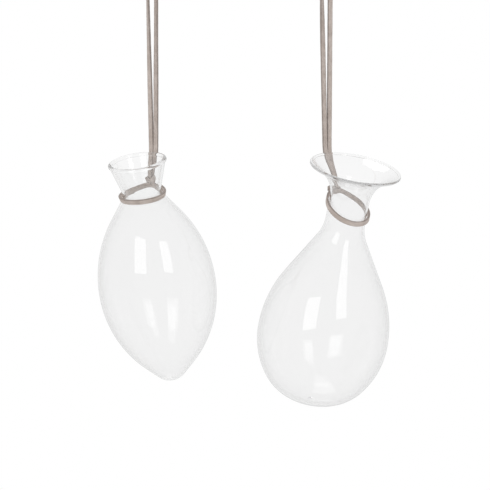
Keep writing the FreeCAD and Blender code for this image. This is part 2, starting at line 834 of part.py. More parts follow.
for kind, (vessel, place) in HUNG.items():
    contact = hook_point(kind) - UP * vessel.size("hang")
    axis = place.Rotation.multVec(UP)
    lip = place.multVec(local((0, vessel.rim[1])))
    print(f"{kind} contact {tuple(contact)} axis {tuple(axis)} mouth {tuple(lip)}")
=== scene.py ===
import json
import math

import bmesh
import bpy
from mathutils import Matrix, Vector, noise


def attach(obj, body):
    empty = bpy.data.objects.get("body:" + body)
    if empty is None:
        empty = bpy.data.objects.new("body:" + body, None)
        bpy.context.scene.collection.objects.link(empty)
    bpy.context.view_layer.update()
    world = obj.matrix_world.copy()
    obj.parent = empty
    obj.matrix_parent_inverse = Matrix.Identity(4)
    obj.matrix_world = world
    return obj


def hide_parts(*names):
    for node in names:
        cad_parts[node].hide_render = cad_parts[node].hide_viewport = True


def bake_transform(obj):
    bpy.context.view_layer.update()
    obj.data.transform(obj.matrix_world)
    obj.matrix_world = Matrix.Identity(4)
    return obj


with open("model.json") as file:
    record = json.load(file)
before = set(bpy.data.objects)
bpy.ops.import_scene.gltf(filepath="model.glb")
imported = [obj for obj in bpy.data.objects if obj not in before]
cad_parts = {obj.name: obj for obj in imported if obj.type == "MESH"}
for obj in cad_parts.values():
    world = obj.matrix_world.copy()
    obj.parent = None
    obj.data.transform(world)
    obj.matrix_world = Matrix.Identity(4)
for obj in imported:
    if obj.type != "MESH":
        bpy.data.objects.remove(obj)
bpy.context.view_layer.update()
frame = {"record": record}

# Two blown-glass vases on flat suede laces. Sizes are in millimetres until a point is placed.

MM = 0.001
LACE_WIDTH = 3.0
LACE_THICKNESS = 1.4
STRAND_GAP = 0.1
HOOK_RADIUS = 2.0

# Heights and belly_drop run along a vessel's axis from its waist, end_drop on from its belly
ALMOND = {
    "grain_seed": 0.0,
    "rim_radius": 18.0,
    "bead_swell": 0.55,
    "rim_height": 19.6,
    "flare_straight": 14.7,
    "neck_height": 0.8,
    "neck_radius": 12.2,
    "neck_wall": 1.4,
    "shoulder_bend": 4.8,
    "shoulder_share": 0.945,
    "belly_radius": 36.1,
    "belly_drop": 60.5,
    "body_wall": 1.0,
    "taper_share": 0.97,
    "end_drop": 61.3,
    "tip_radius": 12.0,
    "end_wall": 1.0,
    "nub_radius": 0.6,
    "loop_height": -1.1,
    "loop_tilt": 1.0,
    "loop_roll": 2.0,
    "loop_lean": 16.0,
    "loop_slack": 0.45,
    "loop_pull": 1.9,
    "knot_height": 6.6,
    "knot_reach": 3.2,
    "knot_turn": 4.0,
}
TEARDROP = {
    "grain_seed": 106.0,
    "rim_radius": 27.9,
    "bead_swell": 0.5,
    "rim_height": 33.0,
    "flare_straight": 5.15,
    "neck_height": 13.5,
    "neck_radius": 12.2,
    "neck_wall": 0.9,
    "shoulder_bend": 25.0,
    "shoulder_share": 0.85,
    "belly_radius": 40.2,
    "belly_drop": 76.0,
    "body_wall": 1.1,
    "corner_share": 0.77,
    "side_angle": 36.4,
    "base_angle": 24.6,
    "end_drop": 43.4,
    "end_wall": 1.2,
    "nub_radius": 1.1,
    "loop_height": 8.1,
    "loop_tilt": 22.0,
    "loop_roll": 0.0,
    "loop_lean": 0.0,
    "loop_slack": 0.2,
    "loop_pull": 1.8,
    "knot_height": 17.9,
    "knot_reach": 3.0,
    "knot_turn": 0.0,
}
VASES = {"almond": ALMOND, "teardrop": TEARDROP}

scene = bpy.context.scene
JOINTS = {joint["name"]: joint for joint in frame["record"]["behaviour"]["joints"]}


# Camera

CAMERA_PLACE = (0.1893, -2.0, 0.0048)
CAMERA_PITCH = 4.79
CAMERA_YAW = 3.83
CAMERA_ROLL = -0.51
FOCAL_SHARE = 3289 / 490

camera_data = bpy.data.cameras.new("camera")
camera_data.sensor_width = 36.0
camera_data.lens = camera_data.sensor_width * FOCAL_SHARE
camera_data.clip_start = 0.1
camera_data.clip_end = 30.0
camera = bpy.data.objects.new("camera", camera_data)
camera.location = CAMERA_PLACE
aim = Matrix.Rotation(math.radians(CAMERA_YAW), 3, "Z")
aim = aim @ Matrix.Rotation(math.radians(90 - CAMERA_PITCH), 3, "X")
aim = aim @ Matrix.Rotation(math.radians(CAMERA_ROLL), 3, "Z")
camera.rotation_euler = aim.to_euler()
scene.collection.objects.link(camera)
scene.camera = camera


# Shared helpers


def polar(centre, radius, angle):
    return (centre[0] + radius * math.cos(angle), centre[1] + radius * math.sin(angle))


def link(tree, source, target):
    tree.links.new(source, target)


def feed(tree, socket, value):
    """Set an input to a plain value, or join it to another node's output."""
    if isinstance(value, bpy.types.NodeSocket):
        link(tree, value, socket)
    else:
        socket.default_value = value


def node_row(tree, kind, **inputs):
    """A node with its plain inputs set and its linked inputs joined."""
    node = tree.nodes.new(kind)
    for name, value in inputs.items():
        feed(tree, node.inputs[name.replace("_", " ")], value)
    return node


def new_material(name):
    """An empty node material. Returns the material, its tree and its output."""
    material = bpy.data.materials.new(name)
    material.use_nodes = True
    tree = material.node_tree
    tree.nodes.clear()
    output = tree.nodes.new("ShaderNodeOutputMaterial")
    return material, tree, output


def math_node(tree, operation, *values):
    """The result of one sum."""
    node = tree.nodes.new("ShaderNodeMath")
    node.operation = operation
    for socket, value in zip(node.inputs, values):
        feed(tree, socket, value)
    return node.outputs["Value"]


def colour_mix(tree, blend_type, **inputs):
    """Two colours mixed. The inputs are Factor, A and B."""
    node = tree.nodes.new("ShaderNodeMix")
    node.data_type = "RGBA"
    node.blend_type = blend_type
    for name, value in inputs.items():
        feed(tree, node.inputs[name], value)
    return node.outputs["Result"]


def colour_ramp(tree, fac, first, last, start=0.0, end=1.0):
    """A ramp from one colour to another between two places."""
    ramp = node_row(tree, "ShaderNodeValToRGB", Fac=fac)
    low, high = ramp.color_ramp.elements
    low.position, high.position = start, end
    low.color, high.color = first, last
    return ramp.outputs["Color"]


def grey(level):
    return (level, level, level, 1.0)


def add_piece(name, mesh, body, slot, material, *replaced):
    """A finished mesh as a piece that rides on a body, or on none."""
    piece = bpy.data.objects.new(name, mesh)
    scene.collection.objects.link(piece)
    mesh.materials.append(material)
    if body:
        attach(piece, body)
    if replaced:
        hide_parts(*replaced)
    return piece


# Where each vessel hangs: the joints give its axis and the lip's contact


def seat(kind):
    """The vessel's own frame: origin on its axis at the waist, X towards the contact."""
    turn = JOINTS[f"{kind}_turn"]
    up = Vector(turn["axis"]).normalized()
    side = -Vector(JOINTS[f"{kind}_tip"]["axis"]).normalized()
    out = side.cross(up).normalized()
    side = up.cross(out)
    mouth = Vector(turn["pos_m"])
    origin = mouth - up * VASES[kind]["rim_height"] * MM
    place = Matrix((out, side, up)).transposed().to_4x4()
    place.translation = origin
    return place


def contact_point(kind):
    return Vector(JOINTS[f"{kind}_tip"]["pos_m"])


# Blown outlines, as chains of tangent arcs

BELLY_STEP = 0.9
FLARE_STEP = 0.5
SHOULDER_STEP = 0.4
TIP_STEP = 0.3
BEAD_STEP = 0.2
LEAST_STEP = 0.05
STRAIGHT_PARTS = 12
LAST_SHARES = [0.95, 0.975, 0.988, 0.995, 1.0]
NUB_ANGLES = range(90, 9, -10)
NUB_CLEARANCE = 0.3


def slope_between(across, along, reach):
    """The lean of a straight wall that touches two arcs, whose radii add up to reach."""
    return math.asin(reach / math.hypot(across, along)) - math.atan2(across, along)


def arc_points(centre, radius, first, last, step=BELLY_STEP):
    """Points along an arc from one angle to another, no further than a step apart."""
    count = max(4, math.ceil(abs(last - first) * radius / step))
    return [polar(centre, radius, first + (last - first) * i / count) for i in range(count + 1)]


def straight_points(start, end):
    """Points along a straight wall up to its lip, closer and closer towards the lip."""
    shares = [i / STRAIGHT_PARTS for i in range(1, STRAIGHT_PARTS)] + LAST_SHARES
    return [tuple(a + (b - a) * share for a, b in zip(start, end)) for share in shares]


class Profile:
    """The wall section of one vessel, radius across and height along its axis."""

    def __init__(self, kind):
        self.kind = kind
        self.sizes = s = VASES[kind]
        neck, belly, drop = s["neck_radius"], s["belly_radius"], s["belly_drop"]
        self.bead_radius = s["neck_wall"] / 2 + s["bead_swell"]
        self.rim = (s["rim_radius"] - self.bead_radius, s["rim_height"])
        half = s["neck_wall"] / 2
        self.lip_drop = math.sqrt(self.bead_radius**2 - half**2)
        opening, rise = self.rim[0] - neck, self.rim[1] - s["neck_height"]
        straight = s["flare_straight"] + self.lip_drop
        bend_area = opening**2 + rise**2 - straight**2 - half**2
        self.flare_bend = bend_area / (2 * (opening + half))
        self.flare = (neck + self.flare_bend, s["neck_height"])
        self.shoulder = (neck + s["shoulder_bend"], 0.0)
        spread = belly - neck
        reach = (spread**2 + drop**2) / (2 * spread)
        self.upper_curve = s["shoulder_share"] * reach - s["shoulder_bend"]
        self.upper = (belly - self.upper_curve, -drop)
        self.flare_slope = slope_between(
            self.flare[0] - self.rim[0], self.rim[1] - self.flare[1], self.flare_bend + half
        )
        self.knot_top = (neck + s["knot_reach"], s["knot_height"])

    def side(self, wall, neck_wall):
        """The wall's face from the belly up to the lip."""
        s = self.sizes
        upper, bend = self.upper_curve - wall, s["shoulder_bend"] + neck_wall
        slope = slope_between(
            self.shoulder[0] - self.upper[0], self.shoulder[1] - self.upper[1], bend + upper
        )
        half = (-1 if neck_wall else 1) * s["neck_wall"] / 2
        foot = polar(self.rim, half, -self.flare_slope)
        lip = polar(foot, -self.lip_drop, math.pi / 2 - self.flare_slope)
        points = arc_points(self.upper, upper, 0, slope)
        points += arc_points(self.shoulder, bend, math.pi + slope, math.pi, SHOULDER_STEP)
        flare_bend, flare_end = self.flare_bend + neck_wall, math.pi - self.flare_slope
        points += arc_points(self.flare, flare_bend, math.pi, flare_end, FLARE_STEP)
        return points + straight_points(points[-1], lip)

    def low(self, wall, end_wall):
        """The wall's face from the axis up to the belly."""
        s = self.sizes
        belly, drop = s["belly_radius"], s["belly_drop"]
        if self.kind == "almond":
            tip, along = s["tip_radius"], s["end_drop"] - s["tip_radius"]
            curve = (belly**2 + along**2 - tip**2) / (2 * (belly - tip)) * s["taper_share"]
            side, point = (belly - curve, -drop), (0.0, -drop - along)
            slope = slope_between(curve - belly, along, curve - wall - tip + end_wall)
            points = arc_points(point, tip - end_wall, -math.pi / 2, -slope, TIP_STEP)
            return points + arc_points(side, curve - wall, -slope, 0)
        curve, corner, base = self.arcs()
        side = (belly - curve, -drop)
        under = (0.0, base - drop - s["end_drop"])
        apart = math.dist(side, under)
        side_reach, under_reach = curve - corner, base - end_wall - corner + wall
        along = (apart**2 + side_reach**2 - under_reach**2) / (2 * apart)
        angle = math.atan2(under[1] - side[1], under[0] - side[0])
        off = math.sqrt(side_reach**2 - along**2)
        middle = polar(polar(side, along, angle), off, angle - math.pi / 2)
        upper = math.atan2(middle[1] - side[1], middle[0] - side[0])
        lower = math.atan2(middle[1] - under[1], middle[0] - under[0])
        points = arc_points(under, base - end_wall, -math.pi / 2, lower)
        points += arc_points(middle, corner - wall, lower, upper)
        return points + arc_points(side, curve - wall, upper, 0)

    def arcs(self):
        """Radii of the side, the corner and the base, from the angles that the first and last turn."""
        s = self.sizes
        belly, drop = s["belly_radius"], s["end_drop"]
        corner = belly * s["corner_share"]
        side_angle, base_angle = (math.radians(s[f"{n}_angle"]) for n in ("side", "base"))
        side_slope, base_slope = math.tan(side_angle / 2), math.tan(base_angle / 2)
        both = 1 - side_slope * base_slope
        across = ((belly - corner) - side_slope * (drop - corner)) / both
        under = ((drop - corner) - base_slope * (belly - corner)) / both
        return corner + under / math.sin(side_angle), corner, corner + across / math.sin(base_angle)

    def nub(self):
        """The drop of glass left inside where the vessel was sealed off."""
        s = self.sizes
        top = -s["belly_drop"] - s["end_drop"] + s["end_wall"]
        return [polar((0, top), s["nub_radius"], math.radians(angle)) for angle in NUB_ANGLES]

    def loop(self):
        """The whole wall: outside, bead, inside and nub, from pole to pole."""
        s = self.sizes
        outside = self.low(0, 0) + self.side(0, 0)
        inside = self.low(s["body_wall"], s["end_wall"]) + self.side(s["body_wall"], s["neck_wall"])
        first, last = (
            math.atan2(p[1] - self.rim[1], p[0] - self.rim[0]) for p in (outside[-1], inside[-1])
        )
        if last < first:
            last += 2 * math.pi
        bead = arc_points(self.rim, self.bead_radius, first, last, BEAD_STEP)
        nub = self.nub()
        clear = [p for p in inside if p[0] > nub[-1][0] + NUB_CLEARANCE]
        line = outside + bead[1:-1] + clear[::-1] + nub[::-1]
        thin = [line[0]]
        for point in line[1:]:
            if math.dist(point, thin[-1]) > LEAST_STEP:
                thin.append(point)
        return thin


PROFILES = {kind: Profile(kind) for kind in VASES}


# Materials

GLASS_LEVEL = 0.95
# Painted shade: the glass colour darkens towards this level where the wall is seen edge-on
GLASS_EDGE_SHADE_LEVEL = 0.58
GLASS_EDGE_SHADE_POWER = 4.0
GLASS_DEPTH_LEVEL = 0.8
GLASS_DENSITY = 30.0
GLASS_IOR = 1.5
PASSING_LEVEL = 0.97
TRAPPED_DEPTH = 5.5
TAUPE = (0.54, 0.472, 0.432)
NAP_SHADE = 0.78
NAP_LIGHT = 1.16
# Darker colour along the lace's edges: cut fibres, with painted shade where the edges turn from the
# light
EDGE_FIBRE_AND_SHADE = (0.62, 0.61, 0.61, 1.0)
PATCH_SHADE = (0.84, 0.82, 0.80, 1.0)
NAP_SHEEN = (0.86, 0.80, 0.77, 1.0)


def clear_glass():
    """Clear soda glass with painted shade where the wall is seen edge-on, in place of the dark edge
    lines that refraction gives, and the slow ripple of blown work.
    """
    material, tree, output = new_material("clear_blown_glass")
    place = tree.nodes.new("ShaderNodeTexCoord")
    slow = node_row(tree, "ShaderNodeTexNoise", Vector=place.outputs["Object"], Scale=38.0)
    slow.inputs["Detail"].default_value = 1.0
    fine = node_row(tree, "ShaderNodeTexNoise", Vector=place.outputs["Object"], Scale=240.0)
    fine.inputs["Detail"].default_value = 2.0
    ripple = node_row(
        tree, "ShaderNodeBump", Strength=0.03, Distance=0.002, Height=slow.outputs["Fac"]
    )
    bump = node_row(
        tree,
        "ShaderNodeBump",
        Strength=0.006,
        Distance=0.0004,
        Height=fine.outputs["Fac"],
        Normal=ripple.outputs["Normal"],
    )
    # Painted shade on the glass, darker where the wall is seen edge-on, standing in for the dark edge
    # lines of refraction
    facing = node_row(tree, "ShaderNodeLayerWeight", Blend=0.5)
    edge_shade = math_node(tree, "POWER", facing.outputs["Facing"], GLASS_EDGE_SHADE_POWER)
    tone = colour_mix(tree, "MIX", Factor=edge_shade, A=grey(GLASS_LEVEL), B=grey(GLASS_EDGE_SHADE_LEVEL))
    shader = node_row(tree, "ShaderNodeBsdfPrincipled", Normal=bump.outputs["Normal"])
    link(tree, tone, shader.inputs["Base Color"])
    shader.inputs["Metallic"].default_value = 0.0
    shader.inputs["Roughness"].default_value = 0.0
    shader.inputs["IOR"].default_value = GLASS_IOR
    shader.inputs["Transmission Weight"].default_value = 1.0
    depth = tree.nodes.new("ShaderNodeVolumeAbsorption")
    depth.inputs["Color"].default_value = grey(GLASS_DEPTH_LEVEL)
    depth.inputs["Density"].default_value = GLASS_DENSITY
    # Light that only has to reach the lace behind, or is caught inside the wall, goes straight on
    ray = tree.nodes.new("ShaderNodeLightPath")
    soft = math_node(tree, "MAXIMUM", ray.outputs["Is Shadow Ray"], ray.outputs["Is Diffuse Ray"])
    trapped = math_node(tree, "GREATER_THAN", ray.outputs["Ray Depth"], TRAPPED_DEPTH)
    passing = math_node(tree, "MAXIMUM", soft, trapped)
    clear = node_row(tree, "ShaderNodeBsdfTransparent", Color=grey(PASSING_LEVEL))
    both = tree.nodes.new("ShaderNodeMixShader")
    link(tree, passing, both.inputs["Fac"])
    link(tree, shader.outputs["BSDF"], both.inputs[1])
    link(tree, clear.outputs["BSDF"], both.inputs[2])
    link(tree, both.outputs["Shader"], output.inputs["Surface"])
    link(tree, depth.outputs["Volume"], output.inputs["Volume"])
    return material


def suede(name, tint):
    """Split-leather lace: matt nap on the faces; along the edges darker cut fibres, with painted shade
    where the edges turn from the light.
    """
    material, tree, output = new_material(name)
    uv = tree.nodes.new("ShaderNodeUVMap")
    uv.uv_map = "lace"
    stretch = node_row(tree, "ShaderNodeMapping", Vector=uv.outputs["UV"])
    stretch.inputs["Scale"].default_value = (260.0, 900.0, 1.0)
    nap = node_row(tree, "ShaderNodeTexNoise", Vector=stretch.outputs["Vector"], Scale=1.0)
    nap.inputs["Detail"].default_value = 5.0
    nap.inputs["Roughness"].default_value = 0.7
    place = tree.nodes.new("ShaderNodeTexCoord")
    patch = node_row(tree, "ShaderNodeTexNoise", Vector=place.outputs["Object"], Scale=140.0)
    patch.inputs["Detail"].default_value = 3.0
    worn = node_row(tree, "ShaderNodeTexNoise", Vector=place.outputs["Object"], Scale=1300.0)
    worn.inputs["Detail"].default_value = 2.0
    shade = (*[value * NAP_SHADE for value in tint], 1.0)
    light = (*[min(1.0, value * NAP_LIGHT) for value in tint], 1.0)
    tone = colour_ramp(tree, nap.outputs["Fac"], shade, light, 0.3, 0.72)
    cloud = colour_ramp(tree, patch.outputs["Fac"], PATCH_SHADE, grey(1.0), 0.35, 0.68)
    mixed = colour_mix(tree, "MULTIPLY", Factor=1.0, A=tone, B=cloud)
    # The edges are painted darker, partly cut fibres and partly painted shade of the edges turned from
    # the light
    edge_shade = tree.nodes.new("ShaderNodeAttribute")
    edge_shade.attribute_name = "edge_fibre_shade"
    fibre_and_shade = colour_mix(tree, "MULTIPLY", Factor=edge_shade.outputs["Fac"], A=mixed, B=EDGE_FIBRE_AND_SHADE)
    height = math_node(tree, "ADD", nap.outputs["Fac"], worn.outputs["Fac"])
    bump = node_row(tree, "ShaderNodeBump", Strength=0.55, Distance=0.0002, Height=height)
    shader = node_row(tree, "ShaderNodeBsdfPrincipled", Normal=bump.outputs["Normal"])
    link(tree, fibre_and_shade, shader.inputs["Base Color"])
    shader.inputs["Roughness"].default_value = 0.92
    shader.inputs["Specular IOR Level"].default_value = 0.2
    shader.inputs["Sheen Weight"].default_value = 0.35
    shader.inputs["Sheen Roughness"].default_value = 0.5
    shader.inputs["Sheen Tint"].default_value = NAP_SHEEN
    link(tree, shader.outputs["BSDF"], output.inputs["Surface"])
    return material


GLASS = clear_glass()
SUEDE = suede("taupe_suede", TAUPE)


# Glass

SPIN_STEPS = 180
MERGE_GAP = 0.004


def blow(kind):
    """The vessel as one spun wall, smooth all over."""
    profile = PROFILES[kind].loop()
    build = bmesh.new()
    verts = [build.verts.new((x, 0, z)) for x, z in profile]
    edges = [build.edges.new(pair) for pair in zip(verts, verts[1:])]
    bmesh.ops.spin(
        build,
        geom=verts + edges,
        cent=(0, 0, 0),
        axis=(0, 0, 1),
        angle=2 * math.pi,
        steps=SPIN_STEPS,
        use_merge=True,
        use_duplicate=False,
    )
    bmesh.ops.remove_doubles(build, verts=build.verts, dist=MERGE_GAP)
    bmesh.ops.recalc_face_normals(build, faces=build.faces)
    bmesh.ops.transform(build, matrix=Matrix.Scale(MM, 4), verts=build.verts)
    bmesh.ops.transform(build, matrix=seat(kind), verts=build.verts)
    mesh = bpy.data.meshes.new(f"{kind}_vessel")
    build.to_mesh(mesh)
    build.free()
    for face in mesh.polygons:
        face.use_smooth = True
    add_piece(f"{kind}_blown_vessel", mesh, f"{kind}_vessel", "glass", GLASS, f"{kind}_glass")


# Lace

HOOK_SPANS = 30
LIP_SPANS = 14
TAIL_SPANS = 12


def smooth_line(points, spans):
    """A NURBS line through the route's hull, read back as plain points."""
    curve = bpy.data.curves.new("route", "CURVE")
    curve.dimensions = "3D"
    spline = curve.splines.new("NURBS")
    spline.points.add(len(points) - 1)
    for knot, point in zip(spline.points, points):
        knot.co = (*point, 1.0)
    spline.order_u = 3
    spline.use_endpoint_u = True
    spline.resolution_u = spans
    holder = bpy.data.objects.new("route", curve)
    scene.collection.objects.link(holder)
    bpy.context.view_layer.update()
    mesh = bpy.data.meshes.new_from_object(holder)
    line = [vert.co.copy() for vert in mesh.vertices]
    bpy.data.objects.remove(holder)
    bpy.data.curves.remove(curve)
    bpy.data.meshes.remove(mesh)
    return line


def line_length(line):
    return sum((b - a).length for a, b in zip(line, line[1:]))


EDGE_SOFTNESS = 0.28
FLAT_SHARES = (0.3, 0.0, -0.3)
EDGE_SHADE_WIDTH = 0.2
FRAY_SHARE = 0.035
FRAY_RATE = 1400
FRAY_GRAIN = 4000
WANDER_SHARE = 0.02
WANDER_RATE = 180
CALM_END = 3.0
END_SHARE = 0.02

# The lace's section, a flat band with soft corners
RING = []
for corner_x, corner_y, start in ((1, 1, 0), (-1, 1, 90), (-1, -1, 180), (1, -1, 270)):
    for turn in range(0, 91, 30):
        angle = math.radians(start + turn)
        across = corner_x * (LACE_WIDTH / 2 - EDGE_SOFTNESS) + EDGE_SOFTNESS * math.cos(angle)
        through = corner_y * (LACE_THICKNESS / 2 - EDGE_SOFTNESS) + EDGE_SOFTNESS * math.sin(angle)
        RING.append((across * MM, through * MM))
    if start in (0, 180):
        flat = corner_y * LACE_THICKNESS / 2 * MM
        RING += [(corner_x * share * LACE_WIDTH * MM, flat) for share in FLAT_SHARES]


def lace_mesh(line, widths, closed=False, seed=0.0):
    """A flat lace along a line, as a bmesh. widths gives the way that its width points."""
    build = bmesh.new()
    uv_layer = build.loops.layers.uv.new("lace")
    fibre_shade_layer = build.verts.layers.float.new("edge_fibre_shade")
    if not closed:
        first, last = line[0].lerp(line[1], END_SHARE), line[-1].lerp(line[-2], END_SHARE)
        line = [line[0], first, *line[1:-1], last, line[-1]]
        widths = [widths[0], *widths, widths[-1]]
    rings, gone, lengths = [], 0.0, []
    count, total, calm = len(line), line_length(line), CALM_END * MM
    for i, point in enumerate(line):
        before = line[i - 1] if i or closed else line[0]
        after = line[(i + 1) % count] if closed or i + 1 < count else line[-1]
        if i:
            gone += (point - line[i - 1]).length
        lengths.append(gone)
        ahead = (after - before).normalized()
        width = (widths[i] - ahead * widths[i].dot(ahead)).normalized()
        face = ahead.cross(width)
        wander = noise.noise(Vector((gone * WANDER_RATE, seed, 0.0)))
        ease = 1.0 if closed else min(1.0, gone / calm, (total - gone) / calm)
        ring = []
        for across, through in RING:
            grain = (gone * FRAY_RATE, across * FRAY_GRAIN, through * FRAY_GRAIN + seed)
            push = 1 + (FRAY_SHARE * noise.noise(Vector(grain)) + WANDER_SHARE * wander) * ease
            vert = build.verts.new(point + width * across * push + face * through * push)
            # Marks the band along each edge that is painted darker: cut fibres and painted shade
            vert[fibre_shade_layer] = 1.0 if abs(across) > (LACE_WIDTH / 2 - EDGE_SHADE_WIDTH) * MM else 0.0
            ring.append(vert)
        rings.append(ring)
    around = len(RING)
    girth = [0.0]
    for i in range(around):
        girth.append(girth[-1] + math.dist(RING[i], RING[(i + 1) % around]))
    pairs = list(zip(range(count), range(1, count)))
    if closed:
        pairs.append((count - 1, 0))
    for low, high in pairs:
        far = lengths[high] or gone + (line[0] - line[-1]).length
        for i in range(around):
            j = (i + 1) % around
            face = build.faces.new((rings[low][i], rings[low][j], rings[high][j], rings[high][i]))
            face.smooth = True
            spots = (
                (lengths[low], girth[i]),
                (lengths[low], girth[i + 1]),
                (far, girth[i + 1]),
                (far, girth[i]),
            )
            for loop, spot in zip(face.loops, spots):
                loop[uv_layer].uv = spot
    if not closed:
        for ring in (rings[0][::-1], rings[-1]):
            face = build.faces.new(ring)
            for loop in face.loops:
                loop[uv_layer].uv = (loop.vert.co.x, loop.vert.co.z)
    bmesh.ops.recalc_face_normals(build, faces=build.faces)
    return build


def lace_piece(name, builds, body, *replaced):
    """Laces joined into one suede piece."""
    mesh = bpy.data.meshes.new(name)
    whole = bmesh.new()
    for build in builds:
        part = bpy.data.meshes.new("part")
        build.to_mesh(part)
        build.free()
        whole.from_mesh(part)
        bpy.data.meshes.remove(part)
    whole.to_mesh(mesh)
    whole.free()
    return add_piece(name, mesh, body, "lace", SUEDE, *replaced)


# Heights above the lip at which a strand's route has a point, and below the hook
SEAM_RISE = 25.0
MIDDLE_RISE = 12.0
NEAR_LIP = 3.0
NEAR_HOOK = 18.0
UPPER_SHARE = 0.62
# Where the bends at the hook and over the lip begin and end
# How the two strands lie on each other at the knot
STACK_OUT = 0.72
STACK_SHARE = 0.35
STACKED_SHARE = 0.4
DRAWN_SHARE = 0.75
KNOT_SINK = 1.4


def lip_way(kind):
    """The way a strand's width points where it crosses the lip."""
    way = Vector(JOINTS[f"{kind}_tip"]["axis"]).normalized()
    return way if way.x > 0 else -way


def strand_side(kind, side):
    """How far a strand stands to the side of the contact, as a vector. side is 1 or -1."""
    return lip_way(kind) * side * (LACE_WIDTH + STRAND_GAP) / 2 * MM


def strand_angles(kind):
    """Angles of the width over the lip and at the hook, the shorter way round."""
    way = lip_way(kind)
    flat = math.atan2(way.y, way.x)
    return flat, math.copysign(math.pi / 2, flat)


# Share of a strand's height and share of its turn, from the lip up to the hook
STRAND_TURN = {
    ("almond", -1): ((0.0, 0.0), (0.4, 0.08), (0.63, 0.42), (0.86, 0.62), (0.93, 0.68), (1.0, 1.0)),
    ("almond", 1): ((0.0, 0.0), (0.4, 0.02), (0.63, 0.36), (0.86, 0.4), (0.93, 0.44), (1.0, 1.0)),
    ("teardrop", -1): ((0.0, 0.0), (0.6, -0.2), (0.75, 0.15), (0.86, 0.45), (0.93, 0.52), (1.0, 1.0)),
    ("teardrop", 1): ((0.0, 0.0), (0.4, -0.15), (0.63, -0.08), (0.86, -0.2), (0.92, -0.1), (1.0, 1.0)),
}


def turn_at(kind, side, share):
    """The share of its turn that a strand has made at a share of its height."""
    turns = STRAND_TURN[kind, side]
    for (low, first), (high, last) in zip(turns, turns[1:]):
        if share <= high:
            return first + (last - first) * (share - low) / (high - low)
    return 1.0


def knot_place(kind):
    """The vessel's frame turned so that X points at the knot."""
    return seat(kind) @ Matrix.Rotation(math.radians(VASES[kind]["knot_turn"]), 4, "Z")


def hook_height(kind):
    return (Vector(JOINTS[f"{kind}_swing"]["pos_m"]) - contact_point(kind)).length


def strand_line(kind, side):
    """The foot and the top of one upper strand's straight run."""
    hook = Vector(JOINTS[f"{kind}_swing"]["pos_m"])
    reach = (HOOK_RADIUS + LACE_THICKNESS / 2) * MM
    return contact_point(kind) + strand_side(kind, side), hook + Vector((side * reach, 0, 0))


def hang_lace(kind):
    """The lace from one side of the lip up over the hook and down to the other."""
    hook = Vector(JOINTS[f"{kind}_swing"]["pos_m"])
    reach = (HOOK_RADIUS + LACE_THICKNESS / 2) * MM
    height = hook_height(kind)
    stops = (SEAM_RISE * MM / height, UPPER_SHARE, 1 - NEAR_HOOK * MM / height, 1.0)
    sides = []
    for side in (1, -1):
        low, top = strand_line(kind, side)
        sides.append([low.lerp(top, share) for share in stops])
    crown = [hook + Vector((side * reach, 0, reach)) for side in (1, -1)]
    line = smooth_line(sides[0] + crown + sides[1][::-1], HOOK_SPANS)
    flat, deep = strand_angles(kind)
    ways = []
    for i, point in enumerate(line):
        share = min(1.0, (point.z - hook.z + height) / height)
        side = 1 if 2 * i < len(line) else -1
        angle = flat + (deep - flat) * turn_at(kind, side, share)
        ways.append(Vector((math.cos(angle), math.sin(angle), 0.0)))
    piece = lace_piece(
        f"{kind}_lace_over_hook",
        [lace_mesh(line, ways, seed=VASES[kind]["grain_seed"])],
        None,
        f"{kind}_hanging_loop",
        f"{kind}_upper_strand_left",
        f"{kind}_upper_strand_right",
    )
    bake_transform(piece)


def lower_lace(kind, side):
    """One strand from above the lip, over it and down the flare into the knot."""
    word = "right" if side > 0 else "left"
    profile = PROFILES[kind]
    foot, top = strand_line(kind, side)
    height = hook_height(kind)
    knot_top = knot_place(kind) @ (Vector((profile.knot_top[0], 0, profile.knot_top[1])) * MM)
    out = side * STACK_OUT * (knot_place(kind).to_3x3() @ Vector((1, 0, 0))) * MM
    knot_top += out + strand_side(kind, side) * STACK_SHARE
    down = (knot_top - foot).normalized()
    route = [foot.lerp(top, rise * MM / height) for rise in (SEAM_RISE, MIDDLE_RISE, NEAR_LIP)]
    route += [foot + down * NEAR_LIP * MM, foot.lerp(knot_top - out, STACKED_SHARE) + out]
    route += [foot.lerp(knot_top, DRAWN_SHARE), knot_top + down * KNOT_SINK * MM]
    line = smooth_line(route, LIP_SPANS)
    flat, deep = strand_angles(kind)
    ways = []
    for point in line:
        share = max(0.0, (point.z - foot.z) / height)
        angle = flat + (deep - flat) * turn_at(kind, side, share)
        ways.append(Vector((math.cos(angle), math.sin(angle), 0.0)))
    piece = lace_piece(
        f"{kind}_lace_over_lip_{word}",
        [lace_mesh(line, ways, seed=VASES[kind]["grain_seed"] + side)],
        None,
        f"{kind}_lower_strand_{word}",
    )
    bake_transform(piece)


LOOP_STEPS = 150
LOOP_CLEARANCE = 0.3
LOOP_PULL_SPREAD = 0.62
LOOP_SWAY = 0.18
LOOP_SWAY_START = 0.7
LOOP_SEED = 20


